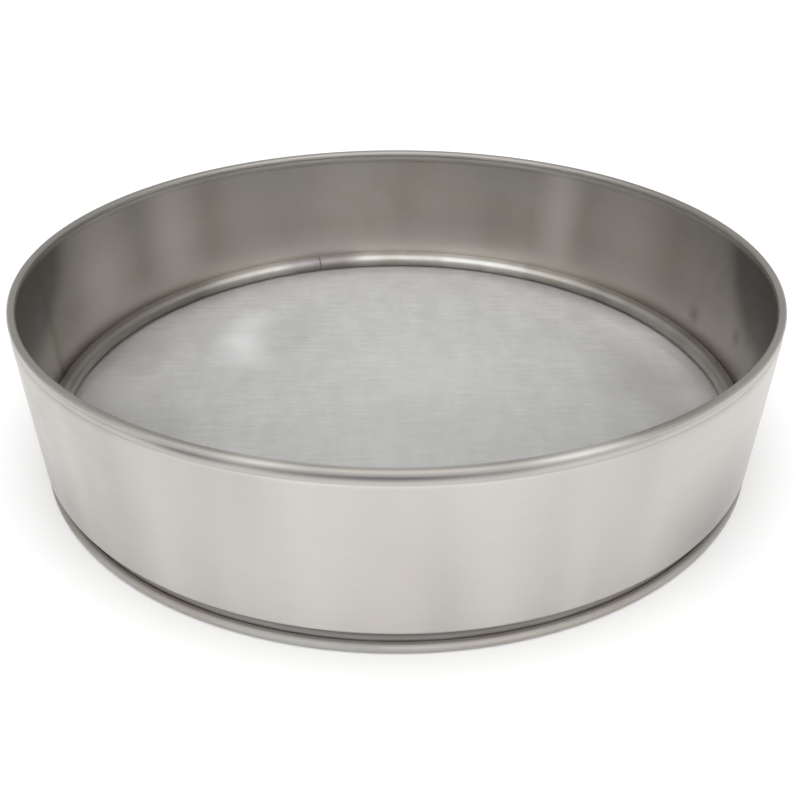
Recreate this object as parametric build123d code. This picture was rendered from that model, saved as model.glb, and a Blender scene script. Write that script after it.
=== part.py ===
from build123d import *

import math
import os

# Drum sieve, in millimetres. It stands on z = 0 and its axis is Z, with +Z up.
# Every piece but the cloth is turned about Z from a section drawn in the plane of radius and height.

# Overall size
wall_outer_radius = 150.0
drum_height = 72.0
wall_thickness = 0.8

# Rim bead: the wall's top edge is rolled inward round a wire, over a shallow neck
rim_wire_diameter = 1.2
rim_set_in = 0.2
rim_edge_gap = 0.5
neck_bend_radius = 4.0
neck_lean = 25.0

# Ledge: the wall's lower edge is turned inward to carry the cloth
ledge_underside_height = 8.5
ledge_bend_radius = 1.4
ledge_width = 7.0

# Base hoop: a flange welded under the ledge, a web, and a foot bead rolled outward round a wire
base_thickness = 0.8
flange_set_back = 0.4
flange_bend_radius = 0.8
foot_wire_diameter = 1.8
foot_flat_depth = 0.15
foot_edge_gap = 0.35

# Wire cloth, as a disc as thick as two crossed wires. A plain grid of openings stands for its fine mesh
cloth_wire_diameter = 0.17
cloth_wire_pitch = 0.42
cloth_edge_clearance = 0.3
cloth_border_width = 2.5
grid_pitch = 23.4

# Retaining ring: a strip rolled into a round tube, with its slit hidden in the corner
ring_diameter = 7.5
ring_strip_thickness = 0.8
ring_slit_width = 2.0
ring_slit_direction = -45.0

# Clearances
wire_clearance = 0.2
seat_gap = 0.05

# Turns, and the headings of the section plane, counted from straight outward towards straight up
QUARTER_TURN = 90.0
HALF_TURN = 180.0
FULL_TURN = 360.0
OUTWARD = 0.0

# Radii and heights that several pieces share
wall_inner_radius = wall_outer_radius - wall_thickness
wall_middle_radius = wall_outer_radius - wall_thickness / 2
ledge_inner_radius = wall_outer_radius - ledge_width
ledge_top_height = ledge_underside_height + wall_thickness
cloth_thickness = 2 * cloth_wire_diameter
cloth_top_height = ledge_top_height + cloth_thickness

# Rim bead: bore, middle line of the sheet, outside, and the bead's centre
rim_bore_radius = rim_wire_diameter / 2 + wire_clearance
rim_curl_radius = rim_bore_radius + wall_thickness / 2
rim_bead_radius = rim_bore_radius + wall_thickness
rim_centre_radius = wall_outer_radius - rim_set_in - rim_bead_radius
rim_centre_height = drum_height - rim_bead_radius

# Foot bead, flush with the wall's outside, with its underside pressed flat at z = 0
foot_bore_radius = foot_wire_diameter / 2 + wire_clearance
foot_curl_radius = foot_bore_radius + base_thickness / 2
foot_bead_radius = foot_bore_radius + base_thickness
foot_centre_radius = wall_outer_radius - foot_bead_radius
foot_centre_height = foot_bead_radius - foot_flat_depth


def section_point(radius, height):
    """A point of the section plane."""
    return Vector(radius, 0, height)


def direction(angle):
    """Unit vector of the section plane at an angle."""
    turn = math.radians(angle)
    return section_point(math.cos(turn), math.sin(turn))


def sheet_section(start, heading, moves, thickness):
    """Section of a sheet whose middle line starts at a point and goes through straight runs and bends.

    A move is (length,) for a straight run, or (radius, angle) for a bend to the left of the way.
    A negative angle bends to the right. Each bend is tangent to the run before it.
    """
    half = thickness / 2
    left_side = []
    right_side = []
    for move in moves:
        to_left = direction(heading + QUARTER_TURN)
        if len(move) == 1:
            end = start + direction(heading) * move[0]
            left_side.append(Line(start + to_left * half, end + to_left * half))
            right_side.append(Line(start - to_left * half, end - to_left * half))
        else:
            radius, angle = move
            side = math.copysign(1, angle)
            centre = start + to_left * (side * radius)
            first_spoke = heading - side * QUARTER_TURN
            spokes = [direction(first_spoke + angle * share) for share in (0, 0.5, 1)]
            left_side.append(ThreePointArc(*(centre + spoke * (radius - side * half) for spoke in spokes)))
            right_side.append(ThreePointArc(*(centre + spoke * (radius + side * half) for spoke in spokes)))
            end = centre + spokes[-1] * radius
            heading += angle
        start = end
    first_edge = Line(right_side[0] @ 0, left_side[0] @ 0)
    last_edge = Line(left_side[-1] @ 1, right_side[-1] @ 1)
    return make_face([first_edge, *left_side, last_edge, *right_side])


def turned(section):
    """The solid that a section makes when it goes once round the axis."""
    return revolve(section, axis=Axis.Z, revolution_arc=FULL_TURN)


def round_bar(centre_radius, centre_height, diameter):
    """A closed ring of round wire."""
    plane = Plane(origin=section_point(centre_radius, centre_height), x_dir=(1, 0, 0), z_dir=(0, -1, 0))
    return turned(plane * Circle(diameter / 2))


def make_drum_wall():
    """The tall hoop: ledge, straight wall, neck, and the bead rolled inward round the rim wire."""
    # The neck takes the sheet inward from the wall and leans it out again to meet the bead's circle
    lean_cosine = math.cos(math.radians(neck_lean))
    lean_sine = math.sin(math.radians(neck_lean))
    inward_step = rim_set_in + rim_curl_radius * (1 - lean_cosine)
    neck_cosine = (1 + lean_cosine - inward_step / neck_bend_radius) / 2
    neck_angle = math.degrees(math.acos(neck_cosine))
    neck_sine = math.sin(math.radians(neck_angle))
    neck_height = neck_bend_radius * (2 * neck_sine + lean_sine)
    straight_top = rim_centre_height - rim_curl_radius * lean_sine - neck_height

    # The rolled edge stops short of the neck by its gap
    neck_inner_radius = wall_inner_radius - 2 * neck_bend_radius * (1 - neck_cosine)
    edge_reach = neck_inner_radius - rim_edge_gap - rim_centre_radius
    edge_angle = FULL_TURN - math.degrees(math.acos(edge_reach / rim_bead_radius))

    ledge_middle_height = ledge_underside_height + wall_thickness / 2
    moves = [
        (wall_middle_radius - ledge_bend_radius - ledge_inner_radius,),
        (ledge_bend_radius, QUARTER_TURN),
        (straight_top - ledge_middle_height - ledge_bend_radius,),
        (neck_bend_radius, neck_angle),
        (neck_bend_radius, -neck_angle - neck_lean),
        (rim_curl_radius, edge_angle + neck_lean),
    ]
    start = section_point(ledge_inner_radius, ledge_middle_height)
    return turned(sheet_section(start, OUTWARD, moves, wall_thickness))


def make_rim_wire():
    """The wire inside the rim bead."""
    return round_bar(rim_centre_radius, rim_centre_height, rim_wire_diameter)


def make_base_ring():
    """The low hoop: flange under the ledge, upright web, and the foot bead rolled outward."""
    flange_inner_radius = ledge_inner_radius + flange_set_back
    flange_middle_height = ledge_underside_height - base_thickness / 2
    web_radius = foot_centre_radius - foot_curl_radius
    flange_run = web_radius - flange_bend_radius - flange_inner_radius
    web_run = flange_middle_height - flange_bend_radius - foot_centre_height

    # The rolled edge stops short of the web by its gap
    edge_reach = foot_edge_gap - foot_bore_radius
    edge_angle = math.degrees(math.acos(edge_reach / foot_bead_radius))

    moves = [
        (flange_run,),
        (flange_bend_radius, -QUARTER_TURN),
        (web_run,),
        (foot_curl_radius, HALF_TURN + edge_angle),
    ]
    start = section_point(flange_inner_radius, flange_middle_height)
    section = sheet_section(start, OUTWARD, moves, base_thickness)

    # The bead's underside is pressed flat where the drum stands
    floor_corners = [
        section_point(foot_centre_radius - foot_bead_radius, -foot_bead_radius),
        section_point(foot_centre_radius + foot_bead_radius, -foot_bead_radius),
        section_point(foot_centre_radius + foot_bead_radius, 0),
        section_point(foot_centre_radius - foot_bead_radius, 0),
    ]
    below_floor = make_face(Polyline(*floor_corners, close=True))
    return turned(section - below_floor)


def make_foot_wire():
    """The wire inside the foot bead."""
    return round_bar(foot_centre_radius, foot_centre_height, foot_wire_diameter)


def make_sieve_cloth():
    """The disc of wire cloth, lying on the flat of the wall's ledge.

    The grid has the same share of open area as the cloth, and it keeps clear of the ledge by its border.
    """
    disc_radius = wall_middle_radius - ledge_bend_radius - cloth_edge_clearance
    open_radius = ledge_inner_radius - cloth_border_width
    opening_width = grid_pitch * (1 - cloth_wire_diameter / cloth_wire_pitch)
    openings_across = int(2 * open_radius / grid_pitch)
    places = GridLocations(grid_pitch, grid_pitch, openings_across, openings_across)
    opening = Rectangle(opening_width, opening_width)
    openings = Sketch() + [place * opening for place in places if place.position.length < open_radius]
    outline = Circle(disc_radius) - (Circle(open_radius) & openings)
    return Pos(Z=ledge_top_height) * extrude(outline, cloth_thickness)


def make_retaining_ring():
    """The rolled ring in the corner of wall and cloth, with its slit towards that corner."""
    ring_radius = ring_diameter / 2
    middle_radius = ring_radius - ring_strip_thickness / 2
    centre_radius = wall_inner_radius - seat_gap - ring_radius
    centre_height = cloth_top_height + seat_gap + ring_radius
    slit_angle = math.degrees(ring_slit_width / middle_radius)
    first_angle = ring_slit_direction + slit_angle / 2
    start = section_point(centre_radius, centre_height) + direction(first_angle) * middle_radius
    moves = [(middle_radius, FULL_TURN - slit_angle)]
    return turned(sheet_section(start, first_angle + QUARTER_TURN, moves, ring_strip_thickness))


pieces = {
    "drum_wall": make_drum_wall(),
    "rim_wire": make_rim_wire(),
    "base_ring": make_base_ring(),
    "foot_wire": make_foot_wire(),
    "sieve_cloth": make_sieve_cloth(),
    "retaining_ring": make_retaining_ring(),
}

os.makedirs("parts", exist_ok=True)
for name, piece in pieces.items():
    export_step(piece, f"parts/{name}.step")
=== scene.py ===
import math

import bpy
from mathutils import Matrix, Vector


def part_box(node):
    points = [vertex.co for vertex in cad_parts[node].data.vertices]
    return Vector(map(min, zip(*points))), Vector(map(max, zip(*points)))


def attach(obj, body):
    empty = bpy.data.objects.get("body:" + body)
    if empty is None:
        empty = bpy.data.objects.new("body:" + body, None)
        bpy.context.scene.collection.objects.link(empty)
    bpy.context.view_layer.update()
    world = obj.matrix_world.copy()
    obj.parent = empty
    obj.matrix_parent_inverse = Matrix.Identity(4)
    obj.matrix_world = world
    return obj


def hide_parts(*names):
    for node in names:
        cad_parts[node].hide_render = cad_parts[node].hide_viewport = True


bl_info = {
    "name": "Drum sieve",
    "version": (1, 0, 0),
    "blender": (4, 5, 0),
    "location": "3D View > Sidebar > Drum sieve",
    "description": "Models a round drum sieve of rolled sheet and wire cloth, with its studio",
    "category": "Add Mesh",
}

MM = 0.001
FULL_TURN = math.tau
QUARTER_TURN = math.pi / 2

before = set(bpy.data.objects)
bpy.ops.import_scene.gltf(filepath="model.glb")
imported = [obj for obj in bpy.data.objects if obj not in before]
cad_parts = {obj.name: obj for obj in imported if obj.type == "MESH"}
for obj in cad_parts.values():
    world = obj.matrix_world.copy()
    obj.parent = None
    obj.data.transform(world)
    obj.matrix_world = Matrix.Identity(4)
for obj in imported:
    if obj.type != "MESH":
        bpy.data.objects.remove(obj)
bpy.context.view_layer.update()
WALL_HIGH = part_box("drum_wall")[1]
CLOTH_LOW, CLOTH_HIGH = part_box("sieve_cloth")


# Sizes, finishes and stage settings

def length_setting(name, description, default):
    """A length that the user can change."""
    return bpy.props.FloatProperty(name=name, description=description, default=default,
                                   subtype="DISTANCE", unit="LENGTH")


def angle_setting(name, description, degrees):
    """An angle that the user can change."""
    return bpy.props.FloatProperty(name=name, description=description, default=math.radians(degrees),
                                   subtype="ANGLE", unit="ROTATION")


def colour_setting(name, description, default):
    """A colour that the user can change."""
    return bpy.props.FloatVectorProperty(name=name, description=description, default=default,
                                         subtype="COLOR", min=0, max=1)


class SieveSizes(bpy.types.PropertyGroup):
    """The drum's sizes, the same as those of the CAD model."""

    wall_radius: length_setting("Wall radius", "Outside radius of the tall hoop", WALL_HIGH.x)
    height: length_setting("Height", "From the table to the top of the rim bead", WALL_HIGH.z)
    sheet: length_setting(
        "Sheet", "Thickness of the sheet of both hoops and of the ring's strip", 0.8 * MM)
    rim_bore: length_setting("Rim bore", "Radius inside the rim bead, round its wire", 0.8 * MM)
    rim_set_in: length_setting(
        "Rim set in", "How far the rim bead lies inside the wall's outside", 0.2 * MM)
    rim_edge_gap: length_setting(
        "Rim edge gap", "Gap between the rolled edge of the rim and the neck", 0.5 * MM)
    neck_bend: length_setting("Neck bend", "Radius of the two bends of the neck under the rim", 4.0 * MM)
    neck_lean: angle_setting("Neck lean", "How far the neck leans out where the rim bead starts", 25)
    ledge_height: length_setting(
        "Ledge height", "Height of the underside of the ledge under the cloth", 8.5 * MM)
    ledge_bend: length_setting("Ledge bend", "Radius of the bend between wall and ledge", 1.4 * MM)
    ledge_width: length_setting("Ledge width", "Reach of the ledge from the wall's outside", 7.0 * MM)
    flange_set_back: length_setting(
        "Flange set back", "How far the base hoop's flange stops short of the ledge", 0.4 * MM)
    flange_bend: length_setting("Flange bend", "Radius of the bend between flange and web", 0.8 * MM)
    foot_bore: length_setting("Foot bore", "Radius inside the foot bead, round its wire", 1.1 * MM)
    foot_flat: length_setting("Foot flat", "How far the foot bead is pressed flat", 0.15 * MM)
    foot_edge_gap: length_setting(
        "Foot edge gap", "Gap between the rolled edge of the foot and the web", 0.35 * MM)
    ring_radius: length_setting("Ring radius", "Outside radius of the retaining ring's tube", 3.75 * MM)
    ring_joint: length_setting(
        "Ring joint", "Gap where the two ends of the retaining ring meet", 0.25 * MM)
    seat_gap: length_setting(
        "Seat gap", "Gap between the retaining ring and what it rests on", 0.05 * MM)
    wire: length_setting("Cloth wire", "Diameter of the cloth's wires", 0.17 * MM)
    pitch: length_setting("Cloth pitch", "From one wire of the cloth to the next", 0.42 * MM)
    seam_height: length_setting(
        "Seam height", "How proud the ground weld of the tall hoop stands", 0.05 * MM)
    seam_angle: angle_setting(
        "Seam angle", "Where the tall hoop is welded, counted from +X towards +Y", 177)
    joint_angle: angle_setting(
        "Joint angle", "Where the retaining ring's ends meet, counted the same way", 107.25)
    steps_round: bpy.props.IntProperty(
        name="Steps round", description="Number of faces once round each hoop", default=480, min=48)


class SieveFinish(bpy.types.PropertyGroup):
    """Colours and surface of the steel."""

    sheet_colour: colour_setting(
        "Sheet", "Satin steel of the tall hoop, where it is light", (0.54, 0.515, 0.487))
    sheet_dark: colour_setting(
        "Sheet, dark", "Satin steel of the tall hoop, in its dark bands", (0.455, 0.434, 0.41))
    inside_colour: colour_setting(
        "Inside", "Duller steel on the inside of the tall hoop", (0.41, 0.382, 0.345))
    # Painted light inside the tall hoop: lighter upright bands, and a lighter zone low down and above the
    # ring
    inside_painted_light_colour: colour_setting(
        "Wiped", "The inside where it has been wiped bright", (0.70, 0.66, 0.615))
    # Base hoop and foot bead colour, darkened as painted shade
    foot_shaded_colour: colour_setting("Foot", "Worn steel of the base hoop and its bead", (0.45, 0.44, 0.417))
    ring_colour: colour_setting("Ring", "Half-polished steel of the retaining ring", (0.80, 0.79, 0.75))
    ring_dark: colour_setting("Ring, dark", "The same ring where it is dull", (0.58, 0.555, 0.51))
    # Painted shade at the two sides of the retaining ring
    ring_side_shade: colour_setting(
        "Ring, stained", "Brown stain at the two sides of the ring", (0.27, 0.25, 0.225))
    cloth_colour: colour_setting("Cloth", "Wire of the sieve cloth", (0.945, 0.94, 0.93))
    cloth_dark: colour_setting(
        "Cloth, dark", "Wire of the sieve cloth where it is dull", (0.73, 0.725, 0.715))
    # Painted highlights on the cloth
    cloth_highlight: colour_setting(
        "Cloth, bright", "Wire of the sieve cloth where it is rubbed bright", (0.98, 0.98, 0.98))
    # Dark tone for grain lines, and for painted shade in creases, recesses, under the ring, inside the
    # hoop and on the cloth
    grime_and_shade_colour: colour_setting("Grime", "What gathers in creases", (0.10, 0.095, 0.10))
    brown_colour: colour_setting("Brown", "Dried spots on the inside of the wall", (0.16, 0.095, 0.06))
    tint_colour: colour_setting(
        "Weld tint", "Heat tint beside the weld of the tall hoop", (0.30, 0.29, 0.20))
    # A darker tone beside the ring's joint, which also dims the ring's highlight there
    joint_tone: colour_setting(
        "Joint tint", "Heat tint beside the retaining ring's joint", (0.33, 0.30, 0.32))


class SieveStage(bpy.types.PropertyGroup):
    """Floor, lights and camera."""

    floor_colour: colour_setting("Floor", "Pale floor", (0.86, 0.86, 0.86))
    floor_size: length_setting("Floor size", "Side of the square floor", 12.0)
    front_light: bpy.props.FloatProperty(
        name="Front light", description="Brightness of the wide soft light behind the camera",
        default=1.42)
    back_light: bpy.props.FloatProperty(
        name="Back light", description="Brightness of the room above and behind the drum", default=0.56)
    overhead_power: bpy.props.FloatProperty(
        name="Overhead power", description="Power of the softbox that lights the floor, in watts",
        default=20.0)
    overhead_size: length_setting("Overhead size", "Side of the square softbox", 2.0)
    overhead_height: length_setting("Overhead height", "Height of the softbox above the floor", 1.6)
    camera_away: length_setting(
        "Camera distance", "From the middle of the drum's foot to the camera", 0.4189)
    camera_elevation: angle_setting(
        "Camera elevation", "Height angle of the camera above the floor", 31.198)
    camera_tilt: angle_setting("Camera tilt", "How far the camera looks down", 37.823)
    camera_lens: bpy.props.FloatProperty(
        name="Lens", description="Focal length on a sensor 36 mm wide, in millimetres", default=41.49)
    camera_shift: bpy.props.FloatVectorProperty(
        name="Camera shift", description="Lens shift as a share of the picture's width",
        size=2, default=(0.0043, 0.15))


# Help with Blender's own tools

def deselect_all():
    """Leave edit mode and select nothing."""
    active = bpy.context.object
    if active is not None and active.mode != "OBJECT":
        bpy.ops.object.mode_set(mode="OBJECT")
    bpy.ops.object.select_all(action="DESELECT")


def take(piece):
    """Select one piece alone."""
    deselect_all()
    piece.select_set(True)
    bpy.context.view_layer.objects.active = piece


def name_piece(piece, name):
    """Give the same name to the piece and to its data."""
    piece.name = name
    piece.data.name = name


def settle(piece):
    """Put the piece's place into its mesh, so that its object sits at the origin."""
    take(piece)
    bpy.ops.object.transform_apply(location=True, rotation=True, scale=True)


def add_modifier(piece, kind, **settings):
    """Add one modifier and apply it."""
    take(piece)
    bpy.ops.object.modifier_add(type=kind)
    modifier = piece.modifiers[-1]
    for key, value in settings.items():
        setattr(modifier, key, value)
    bpy.ops.object.modifier_apply(modifier=modifier.name)


def recalculate_normals(piece):
    """Merge doubles, then make the faces agree."""
    take(piece)
    bpy.ops.object.mode_set(mode="EDIT")
    bpy.ops.mesh.select_all(action="SELECT")
    bpy.ops.mesh.remove_doubles(threshold=0.001 * MM)
    bpy.ops.mesh.normals_make_consistent(inside=False)
    bpy.ops.object.mode_set(mode="OBJECT")


def select_points(piece, chosen):
    """In edit mode, select the points for which chosen(place) is true."""
    take(piece)
    bpy.ops.object.mode_set(mode="EDIT")
    bpy.ops.mesh.select_mode(type="VERT")
    bpy.ops.mesh.select_all(action="DESELECT")
    bpy.ops.object.mode_set(mode="OBJECT")
    for vertex in piece.data.vertices:
        vertex.select = chosen(vertex.co)
    bpy.ops.object.mode_set(mode="EDIT")


def smooth(piece):
    """Shade the piece smoothly, apart from its sharp edges."""
    take(piece)
    bpy.ops.object.shade_smooth_by_angle(angle=math.radians(35))


def give_material(piece, material):
    """Make this the piece's only material."""
    piece.data.materials.clear()
    piece.data.materials.append(material)


# Sections of bent sheet

def sheet_line(start, heading, moves):
    """Middle line of a bent sheet, as (radius, height) points.

    A move is (length, steps) for a straight run or (radius, angle, steps) for a bend to the left of the
    way; a negative angle bends to the right.
    """
    points = [start]
    for move in moves:
        radius, height = points[-1]
        if len(move) == 2:
            length, steps = move
            for step in range(1, steps + 1):
                reach = length * step / steps
                points.append((radius + reach * math.cos(heading), height + reach * math.sin(heading)))
            continue
        bend, angle, steps = move
        side = math.copysign(1, angle)
        middle_radius = radius - side * bend * math.sin(heading)
        middle_height = height + side * bend * math.cos(heading)
        for step in range(1, steps + 1):
            spoke = heading - side * QUARTER_TURN + angle * step / steps
            points.append((middle_radius + bend * math.cos(spoke), middle_height + bend * math.sin(spoke)))
        heading += angle
    return points


def raise_hoop(name, points, steps_round):
    """Draw a ring at the first point, and extrude its edges through the others."""
    deselect_all()
    radius, height = points[0]
    bpy.ops.mesh.primitive_circle_add(vertices=steps_round, radius=radius, location=(0, 0, height))
    hoop = bpy.context.object
    name_piece(hoop, name)
    settle(hoop)
    bpy.ops.object.mode_set(mode="EDIT")
    bpy.ops.mesh.select_all(action="SELECT")
    for (before_radius, before_height), (after_radius, after_height) in zip(points, points[1:]):
        bpy.ops.mesh.extrude_region_move(
            TRANSFORM_OT_translate={"value": (0, 0, after_height - before_height)})
        growth = after_radius / before_radius
        bpy.ops.transform.resize(value=(growth, growth, 1), center_override=(0, 0, 0))
    recalculate_normals(hoop)
    return hoop


def thicken(piece, thickness, edge_round=0.1 * MM):
    """Give the sheet its thickness, half to each side, and break its cut edges."""
    add_modifier(piece, "SOLIDIFY", thickness=thickness, offset=0, use_even_offset=True)
    add_modifier(piece, "BEVEL", width=edge_round, segments=2, limit_method="ANGLE",
                 angle_limit=math.radians(60))


# Shader nodes

def node(tree, kind, links=(), **settings):
    """Add a node. links are (input socket, source socket or value)."""
    made = tree.nodes.new(kind)
    for key, value in settings.items():
        setattr(made, key, value)
    for target, source in links:
        if isinstance(source, bpy.types.NodeSocket):
            tree.links.new(source, made.inputs[target])
        else:
            made.inputs[target].default_value = source
    return made


def maths(tree, operation, *values):
    return node(tree, "ShaderNodeMath", list(enumerate(values)), operation=operation).outputs[0]


def product(tree, first, second):
    return maths(tree, "MULTIPLY", first, second)


def weighted(tree, start, *parts):
    """The start plus each part's value times its weight."""
    for value, weight in parts:
        start = maths(tree, "ADD", start, product(tree, value, weight))
    return start


def distance(tree, step, other_step):
    """Length of two steps at a right angle to each other."""
    squares = maths(tree, "ADD", product(tree, step, step), product(tree, other_step, other_step))
    return maths(tree, "SQRT", squares)


def ramp(tree, value, low, high, to_low=0.0, to_high=1.0):
    """Map a value smoothly from one range to another."""
    made = node(tree, "ShaderNodeMapRange", [
        ("Value", value), ("From Min", low), ("From Max", high), ("To Min", to_low), ("To Max", to_high)],
        interpolation_type="SMOOTHSTEP")
    return made.outputs["Result"]


def fade(tree, value, low, high):
    """1 up to the low value, and smoothly down to 0 at the high one."""
    return ramp(tree, value, low, high, 1.0, 0.0)


def noise(tree, place, scale=1.0, detail=3.0, roughness=0.5, distortion=0.0):
    made = node(tree, "ShaderNodeTexNoise", [
        ("Vector", place), ("Scale", scale), ("Detail", detail), ("Roughness", roughness),
        ("Distortion", distortion)])
    return made.outputs["Fac"]


def combine(tree, x, y, z):
    return node(tree, "ShaderNodeCombineXYZ", [("X", x), ("Y", y), ("Z", z)]).outputs[0]


def stretched(tree, place, scale):
    """The place times a scale along each axis."""
    return node(tree, "ShaderNodeMapping", [("Vector", place), ("Scale", scale)]).outputs[0]


def object_place(tree):
    return node(tree, "ShaderNodeTexCoord").outputs["Object"]


def drum_place(tree):
    """X, Y and Z of the place, and its distance from the drum's axis."""
    parts = node(tree, "ShaderNodeSeparateXYZ", [("Vector", object_place(tree))]).outputs
    flat = combine(tree, parts["X"], parts["Y"], 0.0)
    radius = node(tree, "ShaderNodeVectorMath", [(0, flat)], operation="LENGTH").outputs["Value"]
    return parts, radius


def colour(values):
    """A colour with full alpha."""
    return (*values, 1.0)


def mix(tree, share, first, second):
    """Mix two colours."""
    # These are the factor and the two colours among the sockets that a Mix node has for all its types
    made = node(tree, "ShaderNodeMix", [(0, share), (6, first), (7, second)], data_type="RGBA")
    return made.outputs[2]


def lay(tree, base, mask, share, tone):
    """Lay a tone over the base, by the mask times the share."""
    return mix(tree, product(tree, mask, share), base, colour(tone))


# Shader node groups

def new_group(name, inputs, outputs):
    """A node group with its inputs' defaults, ready to be filled."""
    group = bpy.data.node_groups.new(name, "ShaderNodeTree")
    for key, default in inputs.items():
        kind = "NodeSocketVector" if isinstance(default, tuple) else "NodeSocketFloat"
        group.interface.new_socket(name=key, in_out="INPUT", socket_type=kind).default_value = default
    for key in outputs:
        group.interface.new_socket(name=key, in_out="OUTPUT", socket_type="NodeSocketFloat")
    given = group.nodes.new("NodeGroupInput").outputs
    result = group.nodes.new("NodeGroupOutput").inputs
    return group, given, result


def make_rolled_grain():
    """Fine lines that run round the drum, and broad uneven bands of polish across them."""
    group, given, result = new_group(
        "Rolled grain", {"Lines per metre": 3500.0, "Line ends per metre": 14.0, "Bands per metre": 22.0},
        ("Lines", "Bands"))
    parts, radius = drum_place(group)
    # Height and radius together set the lines apart on upright and on flat sheet alike
    across = weighted(group, parts["Z"], (radius, 1.37))
    ends = given["Line ends per metre"]
    line_spot = combine(group, product(group, parts["X"], ends), product(group, parts["Y"], ends),
                        product(group, across, given["Lines per metre"]))
    group.links.new(noise(group, line_spot, roughness=0.6), result["Lines"])
    bands = given["Bands per metre"]
    band_spot = combine(group, product(group, parts["X"], bands), product(group, parts["Y"], bands),
                        product(group, parts["Z"], 3.0))
    group.links.new(ramp(group, noise(group, band_spot, detail=2.0), 0.35, 0.65), result["Bands"])


def make_ring_shade():
    """A soft mask round one circle of the drum, such as the bottom of a crease."""
    group, given, result = new_group(
        "Ring shade", {"Radius": 0.149, "Height": 0.0, "Reach": 0.001}, ("Mask",))
    parts, radius = drum_place(group)
    step_out = maths(group, "SUBTRACT", radius, given["Radius"])
    step_up = maths(group, "SUBTRACT", parts["Z"], given["Height"])
    away = distance(group, step_out, step_up)
    group.links.new(fade(group, away, 0.0, given["Reach"]), result["Mask"])


def make_spot():
    """A soft round mask at one place of the drum, broken up by noise."""
    group, given, result = new_group(
        "Spot", {"Place": (0.0, 0.0, 0.0), "Reach": 0.002, "Raggedness": 0.8}, ("Mask",))
    place = object_place(group)
    away = node(group, "ShaderNodeVectorMath", [(0, place), (1, given["Place"])], operation="DISTANCE")
    mottle = noise(group, place, scale=700.0, detail=2.0)
    unevenness = product(group, maths(group, "SUBTRACT", mottle, 0.5), given["Raggedness"])
    ragged = product(group, away.outputs["Value"], maths(group, "ADD", unevenness, 1.0))
    group.links.new(fade(group, ragged, 0.0, given["Reach"]), result["Mask"])


def make_upright_line():
    """A soft mask along one upright line of a hoop, such as beside its weld."""
    group, given, result = new_group("Upright line", {"Angle": 0.0, "Reach": 0.004}, ("Mask",))
    parts, radius = drum_place(group)
    steps = []
    for axis, operation in (("X", "COSINE"), ("Y", "SINE")):
        line_place = product(group, radius, maths(group, operation, given["Angle"]))
        steps.append(maths(group, "SUBTRACT", parts[axis], line_place))
    away = distance(group, *steps)
    group.links.new(fade(group, away, 0.0, given["Reach"]), result["Mask"])


def make_handling():
    """Faint smudges and wipe marks of use, from 0, clean, to 1."""
    group, given, result = new_group("Handling", {"Scale": 30.0}, ("Smudge",))
    broad = noise(group, object_place(group), given["Scale"], detail=4.0, roughness=0.6, distortion=0.6)
    group.links.new(ramp(group, broad, 0.45, 0.72), result["Smudge"])


GROUP_MAKERS = {
    "Rolled grain": make_rolled_grain,
    "Ring shade": make_ring_shade,
    "Spot": make_spot,
    "Upright line": make_upright_line,
    "Handling": make_handling,
}


def use_group(tree, name, **values):
    """Place a node group in a material with its own values. The group is made on its first use."""
    if bpy.data.node_groups.get(name) is None:
        GROUP_MAKERS[name]()
    placed = tree.nodes.new("ShaderNodeGroup")
    placed.node_tree = bpy.data.node_groups[name]
    for key, value in values.items():
        placed.inputs[key.replace("_", " ")].default_value = value
    return placed.outputs


def ring_shade(tree, radius, height, reach):
    return use_group(tree, "Ring shade", Radius=radius, Height=height, Reach=reach)["Mask"]


def spot(tree, place, reach, raggedness=0.8):
    return use_group(tree, "Spot", Place=place, Reach=reach, Raggedness=raggedness)["Mask"]


def upright_line(tree, angle, reach):
    return use_group(tree, "Upright line", Angle=angle, Reach=reach)["Mask"]


def lay_bands(tree, base, bands, light, dark=None, within=None):
    """Lay upright bands over the base, light where a band's share is positive and dark where it isn't.

    A band is (direction in degrees, half width, share), and within is a mask that all the bands keep to.
    """
    for degrees, reach, share in bands:
        band = upright_line(tree, math.radians(degrees), reach)
        if within is not None:
            band = product(tree, band, within)
        base = lay(tree, base, band, abs(share), light if share > 0 else dark)
    return base


# Materials

def steel(name, anisotropy=0.6, along_round=True):
    """An empty metal material: its tree, its shader, and a tangent across the grain."""
    material = bpy.data.materials.new(name)
    material.use_nodes = True
    tree = material.node_tree
    shader = tree.nodes["Principled BSDF"]
    shader.inputs["Metallic"].default_value = 1.0
    shader.inputs["Anisotropic"].default_value = anisotropy
    if along_round:
        tangent = node(tree, "ShaderNodeTangent", direction_type="RADIAL", axis="Z")
        tree.links.new(tangent.outputs[0], shader.inputs["Tangent"])
        shader.inputs["Anisotropic Rotation"].default_value = 0.25
    return material, tree, shader


def rolled_grain(tree, **values):
    """Rolled grain, and its lines made clearer."""
    grain = use_group(tree, "Rolled grain", **values)
    return grain, ramp(tree, grain["Lines"], 0.3, 0.7)


def smudges(tree, scale):
    return use_group(tree, "Handling", Scale=scale)["Smudge"]


def finish_steel(tree, shader, base, roughness, height, depth):
    """Link a steel's colour, roughness and relief; depth is that of the relief."""
    tree.links.new(base, shader.inputs["Base Color"])
    tree.links.new(roughness, shader.inputs["Roughness"])
    bump = node(tree, "ShaderNodeBump", [("Height", height), ("Distance", depth), ("Strength", 1.0)])
    tree.links.new(bump.outputs[0], shader.inputs["Normal"])


def rim_bead(sizes):
    """Outside radius of the rim bead's roll, and the radius and height of its centre."""
    bead = sizes.rim_bore + sizes.sheet
    return bead, sizes.wall_radius - sizes.rim_set_in - bead, sizes.height - bead


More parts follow.
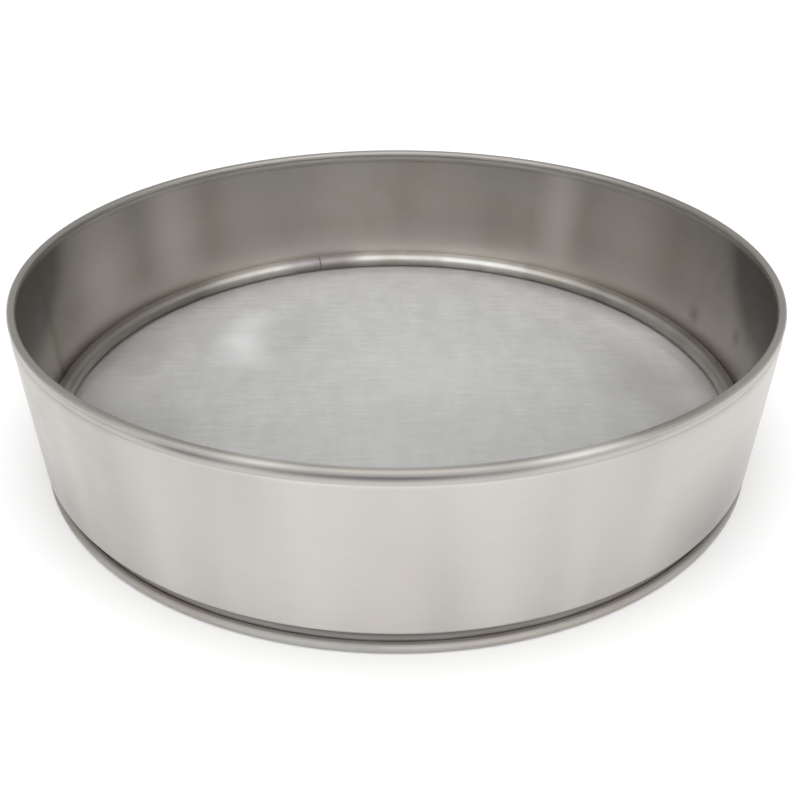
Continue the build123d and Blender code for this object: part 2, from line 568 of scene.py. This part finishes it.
# Painted reflections inside the tall hoop, as soft upright bands: direction in degrees, half width, and
# share of light or dark
INSIDE_PAINTED_REFLECTIONS = [
    (158, 34 * MM, 0.75),
    (139, 24 * MM, 0.65),
    (123, 24 * MM, 0.18),
    (100, 30 * MM, 0.14),
    (88, 10 * MM, -0.06),
    (69, 24 * MM, -0.12),
    (55, 16 * MM, 0.55),
    (38, 30 * MM, 0.25),
]

# Heights inside the tall hoop: painted light low down, more of it above the ring, and painted shade high
# up
PAINTED_LIGHT_HEIGHTS = (16 * MM, 38 * MM)
ABOVE_RING_LIGHT_HEIGHTS = (15 * MM, 27 * MM)
PAINTED_SHADE_HEIGHTS = (42 * MM, 66 * MM)

# Painted dark reflections high up at the two sides inside: place and share, and how far they reach
PAINTED_DARK_REFLECTIONS = [
    ((0.148, -0.010, 0.078), 0.70),
    ((-0.148, -0.010, 0.078), 0.60),
]
DARK_REFLECTION_REACH = 58 * MM

# Spots inside the tall hoop: place and reach
BROWN_SPOTS = [
    ((0.1413, 0.0478, 0.0256), 7.0 * MM),
    ((0.1489, 0.0100, 0.0321), 6.0 * MM),
]

# Scratch on the outside of the tall hoop: its middle, and how far it reaches
SCRATCH_PLACE = (-0.0329, -0.1463, 0.0259)
SCRATCH_REACH = 5.0 * MM

# Stretches of painted shade, partly grime, in the crease under the rim: direction in degrees, reach and
# share; how far below the crease it lies, and its share all round
CREASE_SHADE_AND_GRIME = [
    (-91, 60 * MM, 0.62),
    (-114, 22 * MM, 0.55),
]
CREASE_SHADE_DROP = 0.4 * MM
CREASE_SHADE_ALL_ROUND = 0.24

# Painted highlights and painted shade on stretches of the rim bead: direction in degrees, reach, and share
# of light or dark
BEAD_HIGHLIGHTS_AND_SHADE = [
    (-105, 18 * MM, 0.40),
    (-69, 24 * MM, 0.60),
    (-55, 30 * MM, -0.25),
]

# The inner half of the bead is made lighter at the front: direction in degrees, reach and share
FRONT_BEAD_LIGHTENING = (-91, 64 * MM, 0.85)

# Depths below the rim's top: where the colour of the inside ends, where that of the bead starts, and where
# the neck leans in most, which gets painted light
INSIDE_END_DEPTHS = (6.0 * MM, 3.6 * MM)
BEAD_START_DEPTHS = (1.8 * MM, 1.0 * MM)
NECK_LIGHT_DEPTH = 4.4 * MM

# Depths inside the drum's outside between which the inner half of the bead starts
BEAD_MIDDLE_DEPTHS = (2.1 * MM, 1.1 * MM)

# Painted shade low down on the outside of the tall hoop: place, reach and share
OUTSIDE_SHADES = [
    ((0.1130, -0.0985, 0.010), 52 * MM, 0.46),
    ((-0.1200, -0.0900, 0.010), 40 * MM, 0.26),
]

# Lighter upright bands on the outside: direction in degrees, half width and share
OUTSIDE_BANDS = [
    (-101, 20 * MM, 0.28),
    (-78, 22 * MM, 0.28),
    (-120, 16 * MM, 0.10),
]


def make_inside(tree, finish, sizes, grain, smudge, height):
    """Colour of the tall hoop's inside: dull, with painted light low down and painted shade high up,
    painted reflections in bands and at the sides, weld tint and brown spots.
    """
    base = lay(tree, colour(finish.inside_colour), grain["Bands"], share=0.18, tone=finish.sheet_dark)
    base = lay(tree, base, smudge, share=0.35, tone=finish.tint_colour)
    # Painted reflections: soft upright bands, light and dark
    base = lay_bands(tree, base, INSIDE_PAINTED_REFLECTIONS, finish.inside_painted_light_colour, finish.grime_and_shade_colour)
    # Painted light low down and more of it above the ring, and painted shade high up
    low_down = fade(tree, height, *PAINTED_LIGHT_HEIGHTS)
    base = lay(tree, base, low_down, share=0.45, tone=finish.inside_painted_light_colour)
    above_ring = fade(tree, height, *ABOVE_RING_LIGHT_HEIGHTS)
    base = lay(tree, base, above_ring, share=0.75, tone=finish.inside_painted_light_colour)
    high_up = ramp(tree, height, *PAINTED_SHADE_HEIGHTS)
    base = lay(tree, base, high_up, share=0.15, tone=finish.grime_and_shade_colour)
    seam = upright_line(tree, sizes.seam_angle, reach=5.0 * MM)
    base = lay(tree, base, seam, share=0.5, tone=finish.tint_colour)
    for place, reach in BROWN_SPOTS:
        base = lay(tree, base, spot(tree, place, reach), share=0.45, tone=finish.brown_colour)
    # Painted dark reflections high up at the two sides
    for place, share in PAINTED_DARK_REFLECTIONS:
        patch = spot(tree, place, DARK_REFLECTION_REACH, raggedness=0.1)
        base = lay(tree, base, ramp(tree, patch, 0.04, 0.34), share, finish.grime_and_shade_colour)
    return base


def make_satin_sheet(finish, sizes):
    """Satin sheet of the tall hoop: light outside, duller inside, with painted light, painted reflections
    and painted shade, the darkest in the crease under the rim.
    """
    material, tree, shader = steel("satin sheet")
    grain, lines = rolled_grain(tree)
    smudge = smudges(tree, scale=26.0)
    parts, radius = drum_place(tree)

    # The sheet's middle line divides its outside from its inside
    middle_line = sizes.wall_radius - sizes.sheet / 2
    blend = sizes.sheet / 10
    outside = ramp(tree, radius, middle_line - blend, middle_line + blend)
    below_rim = fade(tree, parts["Z"], *(sizes.height - depth for depth in INSIDE_END_DEPTHS))
    inner_wall = product(tree, maths(tree, "SUBTRACT", 1.0, outside), below_rim)

    base = mix(tree, grain["Bands"], colour(finish.sheet_dark), colour(finish.sheet_colour))
    base = lay(tree, base, smudge, share=0.08, tone=finish.inside_colour)
    seam = upright_line(tree, sizes.seam_angle, reach=4.0 * MM)
    base = lay(tree, base, seam, share=0.35, tone=finish.tint_colour)

    # The rim bead is duller than the wall, with painted highlights and painted shade on stretches, a
    # lighter inner half at the front, and painted light on the neck under it
    bead = ramp(tree, parts["Z"], *(sizes.height - depth for depth in BEAD_START_DEPTHS))
    base = lay(tree, base, bead, share=0.6, tone=finish.inside_colour)
    base = lay_bands(tree, base, BEAD_HIGHLIGHTS_AND_SHADE, finish.ring_colour, finish.grime_and_shade_colour, within=bead)
    # The inner half of the bead is made lighter at the front
    inner_half = fade(tree, radius, *(sizes.wall_radius - depth for depth in BEAD_MIDDLE_DEPTHS))
    base = lay_bands(tree, base, [FRONT_BEAD_LIGHTENING], finish.ring_colour, within=product(tree, inner_half, bead))
    # Painted light on the turn of the neck
    neck_light = ring_shade(tree, sizes.wall_radius, sizes.height - NECK_LIGHT_DEPTH, reach=1.8 * MM)
    base = lay(tree, base, neck_light, share=0.22, tone=finish.ring_colour)

    # Painted shade low down on the outside
    for place, reach, share in OUTSIDE_SHADES:
        base = lay(tree, base, spot(tree, place, reach, raggedness=0.1), share, finish.grime_and_shade_colour)
    base = lay_bands(tree, base, OUTSIDE_BANDS, finish.ring_colour, within=below_rim)
    inside = make_inside(tree, finish, sizes, grain, smudge, parts["Z"])
    base = mix(tree, inner_wall, base, inside)
    base = lay(tree, base, lines, share=0.08, tone=finish.inside_colour)

    # Painted shade, partly grime, in the crease where the bead meets the neck on the outside, most of it
    # at the front
    roll, bead_radius, bead_height = rim_bead(sizes)
    crease_radius = bead_radius + roll * math.cos(sizes.neck_lean)
    crease_height = bead_height - roll * math.sin(sizes.neck_lean)
    crease = ring_shade(tree, crease_radius, crease_height - CREASE_SHADE_DROP, reach=2.5 * MM)
    crease_shade = CREASE_SHADE_ALL_ROUND
    for degrees, reach, share in CREASE_SHADE_AND_GRIME:
        crease_shade = weighted(tree, crease_shade, (upright_line(tree, math.radians(degrees), reach), share))
    base = lay(tree, base, crease, crease_shade, finish.grime_and_shade_colour)

    roughness = weighted(tree, 0.30, (lines, 0.08), (smudge, 0.06), (inner_wall, 0.06))
    scratch = spot(tree, SCRATCH_PLACE, SCRATCH_REACH)
    height = weighted(tree, grain["Lines"], (scratch, 1.5))
    finish_steel(tree, shader, base, roughness, height, depth=0.012 * MM)
    return material


# The recess above the foot bead, which gets painted shade: how far it lies inside the wall's outside, and
# its height
RECESS_SET_IN = 2.8 * MM
RECESS_HEIGHT = 6.3 * MM


def make_base_sheet(finish, sizes):
    """Sheet of the base hoop, darkened as painted shade, with more painted shade in the recess above the
    foot bead.
    """
    material, tree, shader = steel("base sheet")
    grain, lines = rolled_grain(tree, Bands_per_metre=16.0)
    smudge = smudges(tree, scale=40.0)
    base = mix(tree, grain["Bands"], colour(finish.foot_shaded_colour), colour(finish.inside_colour))
    base = lay(tree, base, lines, share=0.12, tone=finish.grime_and_shade_colour)
    # Painted shade in the recess above the foot bead, strongest at the front
    recess_shade = ring_shade(tree, sizes.wall_radius - RECESS_SET_IN, RECESS_HEIGHT, reach=2.2 * MM)
    front = upright_line(tree, -QUARTER_TURN, reach=90 * MM)
    base = lay(tree, base, recess_shade, weighted(tree, 0.4, (front, 0.4)), finish.grime_and_shade_colour)
    roughness = weighted(tree, 0.40, (lines, 0.10), (smudge, 0.10))
    finish_steel(tree, shader, base, roughness, grain["Lines"], depth=0.012 * MM)
    return material


# Painted shade on stretches of the retaining ring at its two sides: direction in degrees, half length, and
# share of shade
RING_SIDE_SHADES = [
    (20, 105 * MM, 0.65),
    (158, 100 * MM, 0.85),
]

# How far inside the wall the painted shade under the retaining ring lies
CONTACT_SHADE_SET_IN = 4.0 * MM


def make_polished_ring(finish, sizes):
    """Half-polished strip of the retaining ring, with painted shade at its two sides and where it meets
    the cloth, and a darker tone at its joint.
    """
    material, tree, shader = steel("polished ring", anisotropy=0.3)
    grain, lines = rolled_grain(tree, Lines_per_metre=5000.0, Bands_per_metre=30.0)
    smudge = smudges(tree, scale=60.0)
    base = mix(tree, grain["Bands"], colour(finish.ring_dark), colour(finish.ring_colour))
    base = lay(tree, base, smudge, share=0.25, tone=finish.ring_dark)
    # Painted shade at the ring's two sides
    for degrees, reach, share in RING_SIDE_SHADES:
        side_shade = ramp(tree, upright_line(tree, math.radians(degrees), reach), 0.0, 0.5)
        base = lay(tree, base, side_shade, share, finish.ring_side_shade)
    # A darker, rougher tone beside the joint
    joint = ramp(tree, upright_line(tree, sizes.joint_angle, reach=32.0 * MM), 0.0, 0.7)
    base = lay(tree, base, joint, share=0.65, tone=finish.joint_tone)
    # Painted shade under the ring, where it meets the cloth
    contact_shade_radius = sizes.wall_radius - sizes.sheet - CONTACT_SHADE_SET_IN
    contact_shade = ring_shade(tree, contact_shade_radius, CLOTH_HIGH.z, reach=2.4 * MM)
    base = lay(tree, base, contact_shade, share=0.2, tone=finish.grime_and_shade_colour)
    roughness = weighted(tree, 0.32, (lines, 0.06), (smudge, 0.10), (joint, 0.15))
    finish_steel(tree, shader, base, roughness, grain["Lines"], depth=0.004 * MM)
    return material


def make_drawn_wire(finish):
    """Drawn wire inside the two beads."""
    material, tree, shader = steel("drawn wire", anisotropy=0.4)
    grain, lines = rolled_grain(tree, Lines_per_metre=6000.0, Bands_per_metre=60.0)
    base = mix(tree, grain["Bands"], colour(finish.sheet_dark), colour(finish.ring_colour))
    base = lay(tree, base, lines, share=0.2, tone=finish.grime_and_shade_colour)
    roughness = weighted(tree, 0.28, (lines, 0.12))
    finish_steel(tree, shader, base, roughness, grain["Lines"], depth=0.006 * MM)
    return material


# Height of the cloth's marks
MARK_HEIGHT = 9.5 * MM

# Painted highlights and painted shade on the cloth: X and Y, reach, and share of light or dark
CLOTH_HIGHLIGHTS_AND_SHADE = [
    ((-0.075, 0.034), 18 * MM, 0.8),
    ((-0.075, 0.052), 20 * MM, 1.0),
    ((-0.073, 0.072), 18 * MM, 0.8),
    ((-0.050, 0.062), 30 * MM, -0.08),
    ((-0.128, -0.002), 28 * MM, 0.9),
    ((-0.100, -0.030), 34 * MM, -0.12),
    ((0.010, 0.020), 60 * MM, 0.30),
    ((0.0, -0.080), 70 * MM, 0.35),
    ((0.108, 0.012), 28 * MM, -0.10),
    ((0.134, -0.004), 18 * MM, 1.0),
]

# Thin dry veils of flour on the cloth, by the edge of its dent and at its left end: X and Y, reach, share
FLOUR_VEILS = [
    ((-0.0715, 0.079), 11 * MM, 0.20),
    ((-0.077, 0.066), 13 * MM, 0.20),
    ((-0.077, 0.053), 13 * MM, 0.24),
    ((-0.072, 0.042), 12 * MM, 0.24),
    ((-0.064, 0.030), 14 * MM, 0.16),
    ((-0.132, 0.018), 24 * MM, 0.16),
]

# The veil beside the ring at the right: radius and width of its circle, direction in degrees, half length
# and share
EDGE_VEIL = (134 * MM, 22 * MM, 20, 92 * MM, 0.46)

# Dents of the cloth: X and Y, depth and reach
DENTS = [
    ((-0.074, 0.061), -0.25 * MM, 30 * MM),
    ((-0.110, 0.004), 0.20 * MM, 28 * MM),
    ((0.105, 0.012), -0.18 * MM, 40 * MM),
]

# How often in a metre the cloth's streaks change along its wires and across them, and how often its clouds
# change along each axis
STREAKS_ALONG = 45.0
STREAKS_ACROSS = 550.0
CLOUDS = (90.0, 40.0, 1.0)

# The cloth gets painted shade at the back, between two values of Y, and towards its edge, between two
# depths
SHADE_AT_BACK = (50 * MM, 110 * MM)
EDGE_SHADE_DEPTHS = (18 * MM, 6 * MM)


def make_cloth_wire(name, finish, along):
    """Wire of the cloth, with painted highlights and painted shade; along is the direction its wires run
    in.
    """
    material, tree, shader = steel(name, anisotropy=0.0, along_round=False)
    place = object_place(tree)
    parts, radius = drum_place(tree)
    streak_scale = {
        "X": (STREAKS_ALONG, STREAKS_ACROSS, 1.0),
        "Y": (STREAKS_ACROSS, STREAKS_ALONG, 1.0),
    }[along]
    streaks = ramp(tree, noise(tree, stretched(tree, place, streak_scale), roughness=0.65), 0.35, 0.7)
    base = lay(tree, colour(finish.cloth_colour), streaks, share=0.50, tone=finish.cloth_dark)
    patches = ramp(tree, noise(tree, place, scale=14.0), 0.42, 0.7)
    base = lay(tree, base, patches, share=0.25, tone=finish.cloth_dark)
    clouds = ramp(tree, noise(tree, stretched(tree, place, CLOUDS), detail=4.0, roughness=0.65), 0.3, 0.7)
    base = lay(tree, base, clouds, share=0.45, tone=finish.cloth_dark)
    # Painted highlights and painted shade on the cloth
    for (x, y), reach, share in CLOTH_HIGHLIGHTS_AND_SHADE:
        painted_mark = spot(tree, (x, y, MARK_HEIGHT), reach, raggedness=0.4)
        base = lay(tree, base, painted_mark, abs(share), finish.cloth_highlight if share > 0 else finish.grime_and_shade_colour)
    # Painted shade on the cloth near the ring at the back
    at_back = ramp(tree, parts["Y"], *SHADE_AT_BACK)
    near_ring = ramp(tree, radius, *(CLOTH_HIGH.x - depth for depth in EDGE_SHADE_DEPTHS))
    base = lay(tree, base, product(tree, at_back, near_ring), share=0.25, tone=finish.grime_and_shade_colour)

    # Flour takes away from the wire's metal sheen
    veils = []
    for (x, y), reach, share in FLOUR_VEILS:
        veils.append((spot(tree, (x, y, MARK_HEIGHT), reach, raggedness=0.4), -share))
    veil_radius, width, degrees, reach, share = EDGE_VEIL
    beside_ring = ring_shade(tree, veil_radius, CLOTH_HIGH.z, width)
    at_right = upright_line(tree, math.radians(degrees), reach)
    veils.append((product(tree, beside_ring, at_right), -share))
    tree.links.new(weighted(tree, 1.0, *veils), shader.inputs["Metallic"])

    crimp = node(tree, "ShaderNodeTexWave", [("Vector", place), ("Scale", 380.0)], bands_direction=along)
    roughness = weighted(tree, 0.34, (streaks, 0.12))
    finish_steel(tree, shader, base, roughness, crimp.outputs["Fac"], depth=0.02 * MM)
    return material


# Pieces

# The weld of the tall hoop stands proud from so far above the ledge to so far below the rim's top
SEAM_ABOVE_LEDGE = 4 * MM
SEAM_BELOW_TOP = 9 * MM

# The retaining ring's tube: points round it, and the direction and half width of its slit in degrees
TUBE_POINTS = 42
SLIT_DIRECTION = -45
SLIT_HALF_WIDTH = 17

# Steps along each wire of the cloth, and the straight cuts that make its square a disc
WIRE_STEPS = 36
DISC_CUTS = 48


def active_settings():
    scene = bpy.context.scene
    return scene.sieve_sizes, scene.sieve_finish


class SIEVE_OT_tall_hoop(bpy.types.Operator):
    """Model the tall hoop: ledge, wall, neck and the rim bead rolled inward."""

    bl_idname = "sieve.tall_hoop"
    bl_label = "Tall hoop"

    def execute(self, context):
        sizes, finish = active_settings()
        half_sheet = sizes.sheet / 2
        curl = sizes.rim_bore + half_sheet
        bead, bead_radius, bead_height = rim_bead(sizes)
        step_in = sizes.rim_set_in + curl * (1 - math.cos(sizes.neck_lean))
        neck_cosine = (1 + math.cos(sizes.neck_lean) - step_in / sizes.neck_bend) / 2
        neck_angle = math.acos(neck_cosine)
        neck_rise = sizes.neck_bend * (2 * math.sin(neck_angle) + math.sin(sizes.neck_lean))
        straight_top = bead_height - curl * math.sin(sizes.neck_lean) - neck_rise
        neck_inside = sizes.wall_radius - sizes.sheet - 2 * sizes.neck_bend * (1 - neck_cosine)
        edge_angle = FULL_TURN - math.acos((neck_inside - sizes.rim_edge_gap - bead_radius) / bead)
        ledge_radius = sizes.wall_radius - sizes.ledge_width
        ledge_middle = sizes.ledge_height + half_sheet
        points = sheet_line((ledge_radius, ledge_middle), 0.0, [
            (sizes.wall_radius - half_sheet - sizes.ledge_bend - ledge_radius, 3),
            (sizes.ledge_bend, QUARTER_TURN, 8),
            (straight_top - ledge_middle - sizes.ledge_bend, 8),
            (sizes.neck_bend, neck_angle, 4),
            (sizes.neck_bend, -neck_angle - sizes.neck_lean, 7),
            (curl, edge_angle + sizes.neck_lean, 30),
        ])
        hoop = raise_hoop("tall_hoop", points, sizes.steps_round)
        thicken(hoop, sizes.sheet)

        # The weld stands a little proud on both faces of the wall
        half_step = FULL_TURN / sizes.steps_round / 2
        low = sizes.ledge_height + SEAM_ABOVE_LEDGE
        high = sizes.height - SEAM_BELOW_TOP

        def on_seam(place):
            turn = math.remainder(math.atan2(place.y, place.x) - sizes.seam_angle, FULL_TURN)
            return abs(turn) < half_step and low < place.z < high

        select_points(hoop, on_seam)
        bpy.ops.transform.shrink_fatten(value=sizes.seam_height)
        smooth(hoop)
        give_material(hoop, make_satin_sheet(finish, sizes))
        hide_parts("drum_wall")
        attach(hoop, "root")
        return {"FINISHED"}


class SIEVE_OT_base_hoop(bpy.types.Operator):
    """Model the base hoop: flange, web and the foot bead rolled outward and pressed flat."""

    bl_idname = "sieve.base_hoop"
    bl_label = "Base hoop"

    def execute(self, context):
        sizes, finish = active_settings()
        half_sheet = sizes.sheet / 2
        curl = sizes.foot_bore + half_sheet
        bead = sizes.foot_bore + sizes.sheet
        bead_radius = sizes.wall_radius - bead
        bead_height = bead - sizes.foot_flat
        flange_radius = sizes.wall_radius - sizes.ledge_width + sizes.flange_set_back
        flange_middle = sizes.ledge_height - half_sheet
        web_radius = bead_radius - curl
        edge_angle = math.acos((sizes.foot_edge_gap - sizes.foot_bore) / bead)
        points = sheet_line((flange_radius, flange_middle), 0.0, [
            (web_radius - sizes.flange_bend - flange_radius, 2),
            (sizes.flange_bend, -QUARTER_TURN, 6),
            (flange_middle - sizes.flange_bend - bead_height, 2),
            (curl, math.pi + edge_angle, 28),
        ])
        hoop = raise_hoop("base_hoop", points, sizes.steps_round)
        thicken(hoop, sizes.sheet)

        # The foot bead is pressed flat on the table
        select_points(hoop, lambda place: place.z < 0)
        bpy.ops.transform.resize(value=(1, 1, 0), center_override=(0, 0, 0))
        smooth(hoop)
        give_material(hoop, make_base_sheet(finish, sizes))
        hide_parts("base_ring")
        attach(hoop, "root")
        return {"FINISHED"}


class SIEVE_OT_bead_wires(bpy.types.Operator):
    """Finish the wires inside the rim bead and the foot bead."""

    bl_idname = "sieve.bead_wires"
    bl_label = "Bead wires"

    def execute(self, context):
        finish = active_settings()[1]
        material = make_drawn_wire(finish)
        for name in ("rim_wire", "foot_wire"):
            give_material(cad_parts[name], material)
        return {"FINISHED"}


class SIEVE_OT_retaining_ring(bpy.types.Operator):
    """Model the rolled ring that holds the cloth down, with its slit and its joint."""

    bl_idname = "sieve.retaining_ring"
    bl_label = "Retaining ring"

    def execute(self, context):
        sizes, finish = active_settings()
        centre_radius = sizes.wall_radius - sizes.sheet - sizes.seat_gap - sizes.ring_radius
        centre_height = CLOTH_HIGH.z + sizes.seat_gap + sizes.ring_radius
        half_joint = sizes.ring_joint / centre_radius / 2
        start = sizes.joint_angle + half_joint
        deselect_all()
        bpy.ops.mesh.primitive_circle_add(
            vertices=TUBE_POINTS, radius=sizes.ring_radius - sizes.sheet / 2,
            location=(centre_radius * math.cos(start), centre_radius * math.sin(start), centre_height),
            rotation=(QUARTER_TURN, 0, start))
        ring = bpy.context.object
        name_piece(ring, "cloth_ring")
        settle(ring)

        def in_slit(place):
            outward = math.hypot(place.x, place.y) - centre_radius
            direction = math.degrees(math.atan2(place.z - centre_height, outward))
            return abs(direction - SLIT_DIRECTION) < SLIT_HALF_WIDTH

        select_points(ring, in_slit)
        bpy.ops.mesh.delete(type="VERT")
        bpy.ops.mesh.select_all(action="SELECT")
        bpy.ops.mesh.spin(steps=sizes.steps_round, angle=FULL_TURN - 2 * half_joint,
                          center=(0, 0, 0), axis=(0, 0, 1))
        recalculate_normals(ring)
        thicken(ring, sizes.sheet, edge_round=0.15 * MM)
        smooth(ring)
        give_material(ring, make_polished_ring(finish, sizes))
        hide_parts("retaining_ring")
        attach(ring, "root")
        return {"FINISHED"}


class SIEVE_OT_wire_cloth(bpy.types.Operator):
    """Model the cloth from its real number of wires, one layer running each way."""

    bl_idname = "sieve.wire_cloth"
    bl_label = "Wire cloth"

    def make_layer(self, sizes, name, along, height):
        """Straight wires side by side, cut to the disc, dented, then given their round section."""
        reach = CLOTH_HIGH.x
        count = int(2 * reach / sizes.pitch)
        across, steps = {"X": (1, (WIRE_STEPS, count)), "Y": (0, (count, WIRE_STEPS))}[along]
        deselect_all()
        bpy.ops.mesh.primitive_grid_add(x_subdivisions=steps[0], y_subdivisions=steps[1],
                                        size=2 * reach, location=(0, 0, height))
        layer = bpy.context.object
        name_piece(layer, name)
        settle(layer)

        # Only the edges that run along the wires stay
        bpy.ops.object.mode_set(mode="EDIT")
        bpy.ops.mesh.select_mode(type="EDGE")
        bpy.ops.mesh.select_all(action="SELECT")
        bpy.ops.mesh.delete(type="ONLY_FACE")
        bpy.ops.mesh.select_all(action="DESELECT")
        bpy.ops.object.mode_set(mode="OBJECT")
        points = layer.data.vertices
        for edge in layer.data.edges:
            first, second = (points[index].co for index in edge.vertices)
            edge.select = abs(first[across] - second[across]) > 0.1 * sizes.pitch
        bpy.ops.object.mode_set(mode="EDIT")
        bpy.ops.mesh.delete(type="EDGE")

        # The square is cut down to a disc
        for cut in range(DISC_CUTS):
            turn = FULL_TURN * cut / DISC_CUTS
            outward = (math.cos(turn), math.sin(turn), 0)
            bpy.ops.mesh.select_all(action="SELECT")
            bpy.ops.mesh.bisect(plane_co=tuple(reach * share for share in outward), plane_no=outward,
                                clear_outer=True)
        bpy.ops.object.mode_set(mode="OBJECT")

        # The point nearest to each dent is pulled, and its neighbours follow
        for (x, y), depth, width in DENTS:
            nearest = min(points, key=lambda point: (point.co.x - x) ** 2 + (point.co.y - y) ** 2).index
            select_points(layer, lambda place: False)
            bpy.ops.object.mode_set(mode="OBJECT")
            layer.data.vertices[nearest].select = True
            bpy.ops.object.mode_set(mode="EDIT")
            bpy.ops.transform.translate(value=(0, 0, depth), use_proportional_edit=True,
                                        proportional_edit_falloff="SMOOTH", proportional_size=width)

        # The lines become wire of four sides, which look round in shading
        take(layer)
        bpy.ops.object.convert(target="CURVE")
        layer = bpy.context.object
        layer.data.bevel_depth = sizes.wire / 2
        layer.data.bevel_resolution = 0
        layer.data.use_fill_caps = True
        bpy.ops.object.convert(target="MESH")
        layer = bpy.context.object
        name_piece(layer, name)
        bpy.ops.object.shade_smooth()
        return layer

    def execute(self, context):
        sizes, finish = active_settings()
        low = CLOTH_LOW.z
        for name, along, share in (("cloth_warp", "Y", 0.5), ("cloth_weft", "X", 1.5)):
            layer = self.make_layer(sizes, name, along, low + share * sizes.wire)
            give_material(layer, make_cloth_wire(name.replace("_", " "), finish, along))
            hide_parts("sieve_cloth")
            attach(layer, "root")
        return {"FINISHED"}


class SIEVE_OT_stage(bpy.types.Operator):
    """Set up the floor, the light and the camera."""

    bl_idname = "sieve.stage"
    bl_label = "Stage"

    def execute(self, context):
        stage = context.scene.sieve_stage
        self.add_floor(stage)
        self.add_light(stage)
        self.add_camera(stage)
        context.scene.view_settings.view_transform = "Standard"
        return {"FINISHED"}

    def add_floor(self, stage):
        """A wide pale floor with a fine tooth."""
        deselect_all()
        bpy.ops.mesh.primitive_plane_add(size=stage.floor_size, location=(0, 0, 0))
        floor = bpy.context.object
        name_piece(floor, "floor")
        material = bpy.data.materials.new("pale floor")
        material.use_nodes = True
        tree = material.node_tree
        shader = tree.nodes["Principled BSDF"]
        tooth = noise(tree, object_place(tree), scale=900.0)
        darker = [share * 0.9 for share in stage.floor_colour]
        tone = lay(tree, colour(stage.floor_colour), tooth, share=0.04, tone=darker)
        tree.links.new(tone, shader.inputs["Base Color"])
        shader.inputs["Roughness"].default_value = 0.7
        shader.inputs["Specular IOR Level"].default_value = 0.2

        # From below, the floor lets the camera through to the drum's underside
        behind = node(tree, "ShaderNodeNewGeometry").outputs["Backfacing"]
        clear = node(tree, "ShaderNodeBsdfTransparent")
        either = node(tree, "ShaderNodeMixShader", [
            (0, behind), (1, shader.outputs[0]), (2, clear.outputs[0])])
        tree.links.new(either.outputs[0], tree.nodes["Material Output"].inputs["Surface"])
        give_material(floor, material)

    def add_light(self, stage):
        """A wide soft light behind the camera, a dimmer room behind the drum, and a softbox overhead."""
        world = bpy.data.worlds.new("soft studio")
        world.use_nodes = True
        sky = world.node_tree
        back = sky.nodes["Background"]
        way = node(sky, "ShaderNodeTexCoord").outputs["Generated"]
        ahead = node(sky, "ShaderNodeSeparateXYZ", [("Vector", way)]).outputs["Y"]
        level = ramp(sky, ahead, -0.85, 0.55, stage.front_light, stage.back_light)
        sky.links.new(level, back.inputs["Strength"])
        back.inputs["Color"].default_value = (1.0, 1.0, 1.0, 1.0)
        bpy.context.scene.world = world

        # The softbox lights the floor, and the steel doesn't mirror it
        bpy.ops.object.light_add(type="AREA", location=(0, 0, stage.overhead_height))
        lamp = bpy.context.object
        name_piece(lamp, "overhead softbox")
        lamp.data.shape = "SQUARE"
        lamp.data.size = stage.overhead_size
        lamp.data.energy = stage.overhead_power
        lamp.visible_glossy = False
        lamp.visible_camera = False

    def add_camera(self, stage):
        """A camera at the photograph's viewing angle."""
        in_front = stage.camera_away * math.cos(stage.camera_elevation)
        height = stage.camera_away * math.sin(stage.camera_elevation)
        bpy.ops.object.camera_add(
            location=(0, -in_front, height), rotation=(QUARTER_TURN - stage.camera_tilt, 0, 0))
        camera = bpy.context.object
        name_piece(camera, "camera")
        camera.data.sensor_width = 36.0
        camera.data.lens = stage.camera_lens
        camera.data.shift_x, camera.data.shift_y = stage.camera_shift
        camera.data.clip_start = 0.01
        bpy.context.scene.camera = camera


class SIEVE_PT_panel(bpy.types.Panel):
    """Lists the pieces in the sidebar."""

    bl_idname = "SIEVE_PT_panel"
    bl_label = "Drum sieve"
    bl_space_type = "VIEW_3D"
    bl_region_type = "UI"
    bl_category = "Drum sieve"

    def draw(self, context):
        for operator in OPERATORS:
            self.layout.operator(operator.bl_idname)
        for group in (context.scene.sieve_sizes, context.scene.sieve_finish, context.scene.sieve_stage):
            box = self.layout.box()
            for key in group.bl_rna.properties.keys():
                if key not in ("rna_type", "name"):
                    box.prop(group, key)


OPERATORS = (
    SIEVE_OT_tall_hoop,
    SIEVE_OT_base_hoop,
    SIEVE_OT_bead_wires,
    SIEVE_OT_retaining_ring,
    SIEVE_OT_wire_cloth,
    SIEVE_OT_stage,
)
CLASSES = (SieveSizes, SieveFinish, SieveStage, *OPERATORS, SIEVE_PT_panel)


def register():
    for each in CLASSES:
        bpy.utils.register_class(each)
    bpy.types.Scene.sieve_sizes = bpy.props.PointerProperty(type=SieveSizes)
    bpy.types.Scene.sieve_finish = bpy.props.PointerProperty(type=SieveFinish)
    bpy.types.Scene.sieve_stage = bpy.props.PointerProperty(type=SieveStage)


def unregister():
    del bpy.types.Scene.sieve_stage
    del bpy.types.Scene.sieve_finish
    del bpy.types.Scene.sieve_sizes
    for each in reversed(CLASSES):
        bpy.utils.unregister_class(each)


def main():
    register()
    bpy.ops.sieve.tall_hoop()
    bpy.ops.sieve.base_hoop()
    bpy.ops.sieve.bead_wires()
    bpy.ops.sieve.retaining_ring()
    bpy.ops.sieve.wire_cloth()
    bpy.ops.sieve.stage()


if __name__ == "__main__":
    main()
